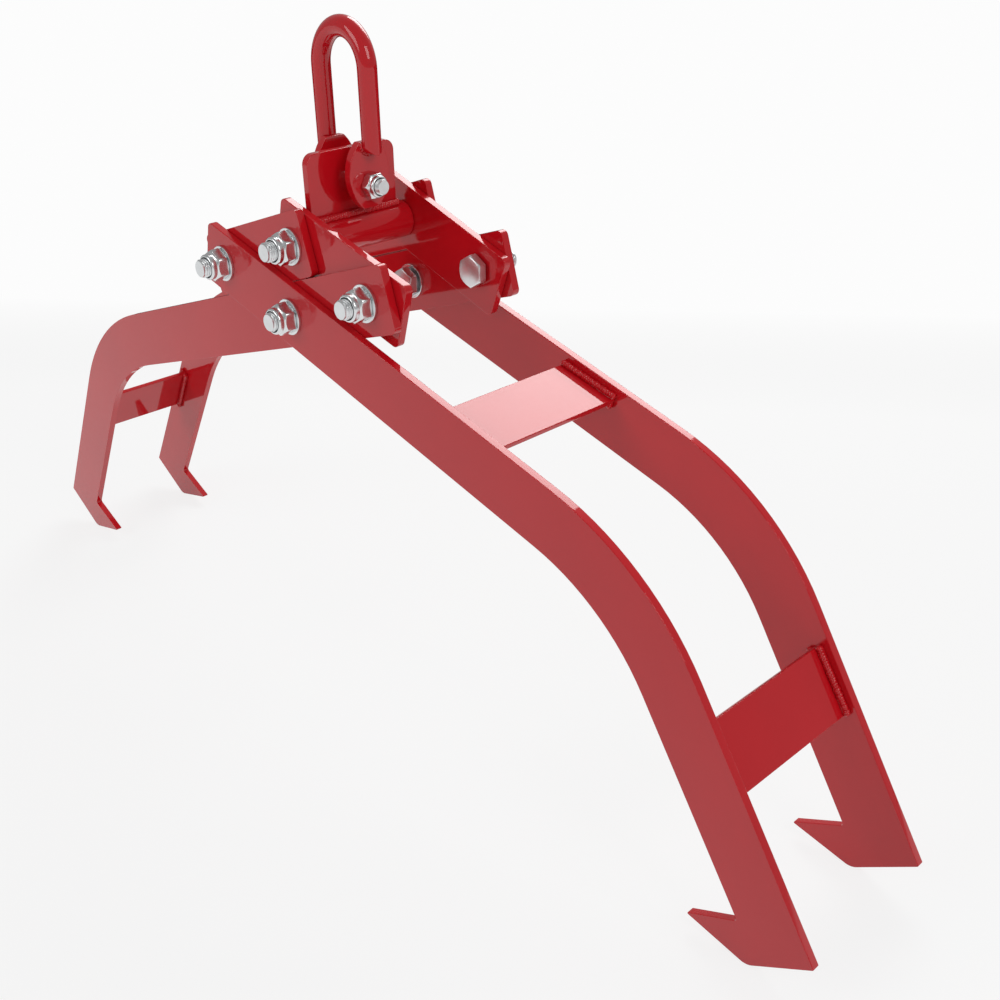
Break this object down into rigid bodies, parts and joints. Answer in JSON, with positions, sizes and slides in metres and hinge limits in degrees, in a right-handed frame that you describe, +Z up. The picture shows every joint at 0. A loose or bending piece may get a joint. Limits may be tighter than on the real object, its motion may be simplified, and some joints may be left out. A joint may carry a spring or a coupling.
{
  "type": "log grapple",
  "caption": "Scissor-action log grapple with bent flat-bar jaws ending in inward tines, bolted link plates, a swinging hanger and a round-bar lifting bail.",
  "frame": {"origin": "on the ground, centred under the middle pivot, with the jaws fully open", "axes": "+Z up, +X along the length towards the jaw whose arms run outside, +Y along the pivot bolts"},
  "size_m": [1.2496, 0.2284, 0.6793],
  "materials": {
    "red_enamel": "gloss enamel over welded steel plate",
    "zinc": "bright zinc plated"
  },
  "bodies": {
    "right_jaw": {"right_arm_near": "red_enamel", "right_arm_far": "red_enamel", "right_upper_crossbar": "red_enamel", "right_lower_crossbar": "red_enamel", "right_crossbar_welds": "red_enamel", "pivot_a_near_bolt": "zinc", "pivot_a_near_washer": "zinc", "pivot_a_near_nut": "zinc", "pivot_a_far_bolt": "zinc", "pivot_a_far_washer": "zinc", "pivot_a_far_nut": "zinc", "pivot_c_near_bolt": "zinc", "pivot_c_near_washer": "zinc", "pivot_c_near_nut": "zinc", "pivot_c_near_head_washer": "zinc", "pivot_c_far_bolt": "zinc", "pivot_c_far_washer": "zinc", "pivot_c_far_nut": "zinc", "pivot_c_far_head_washer": "zinc"},
    "left_jaw": {"left_arm_near": "red_enamel", "left_arm_far": "red_enamel", "left_upper_crossbar": "red_enamel", "left_lower_crossbar": "red_enamel", "left_crossbar_welds": "red_enamel", "pivot_d_near_bolt": "zinc", "pivot_d_near_washer": "zinc", "pivot_d_near_nut": "zinc", "pivot_d_far_bolt": "zinc", "pivot_d_far_washer": "zinc", "pivot_d_far_nut": "zinc"},
    "short_links": {"short_link_near": "red_enamel", "short_link_far": "red_enamel", "hanger_bolt": "zinc", "hanger_washer": "zinc", "hanger_nut": "zinc"},
    "long_links": {"long_link_near": "red_enamel", "long_link_far": "red_enamel"},
    "hanger": {"hanger_tube": "red_enamel", "lug_plate": "red_enamel", "lug_welds": "red_enamel"},
    "bail": {"bail_bow": "red_enamel", "bail_ear_left": "red_enamel", "bail_ear_right": "red_enamel", "bail_welds": "red_enamel", "bail_bolt": "zinc", "bail_nut": "zinc"}
  },
  "joints": [
    {"name": "jaw_close", "type": "hinge", "parent": "right_jaw", "child": "left_jaw", "pos_m": [0, 0, 0.43173], "axis": [0, -1, 0], "range_deg": [0, 100]},
    {"name": "short_link_turn", "type": "hinge", "parent": "right_jaw", "child": "short_links", "pos_m": [-0.1053, 0, 0.46353], "axis": [0, -1, 0], "range_deg": [0, 100]},
    {"name": "long_link_turn", "type": "hinge", "parent": "short_links", "child": "long_links", "pos_m": [0, 0, 0.49532], "axis": [0, -1, 0], "range_deg": [-100, 0]},
    {"name": "hanger_swing", "type": "hinge", "parent": "short_links", "child": "hanger", "pos_m": [0, 0, 0.49532], "axis": [0, -1, 0], "range_deg": [-60, 20]},
    {"name": "bail_swing", "type": "hinge", "parent": "hanger", "child": "bail", "pos_m": [0, 0, 0.54032], "axis": [1, 0, 0], "range_deg": [-50, 50]}
  ],
  "couplings": [
    {"joint": "short_link_turn", "follows": "jaw_close", "ratio": 1},
    {"joint": "long_link_turn", "follows": "jaw_close", "ratio": -1}
  ]
}
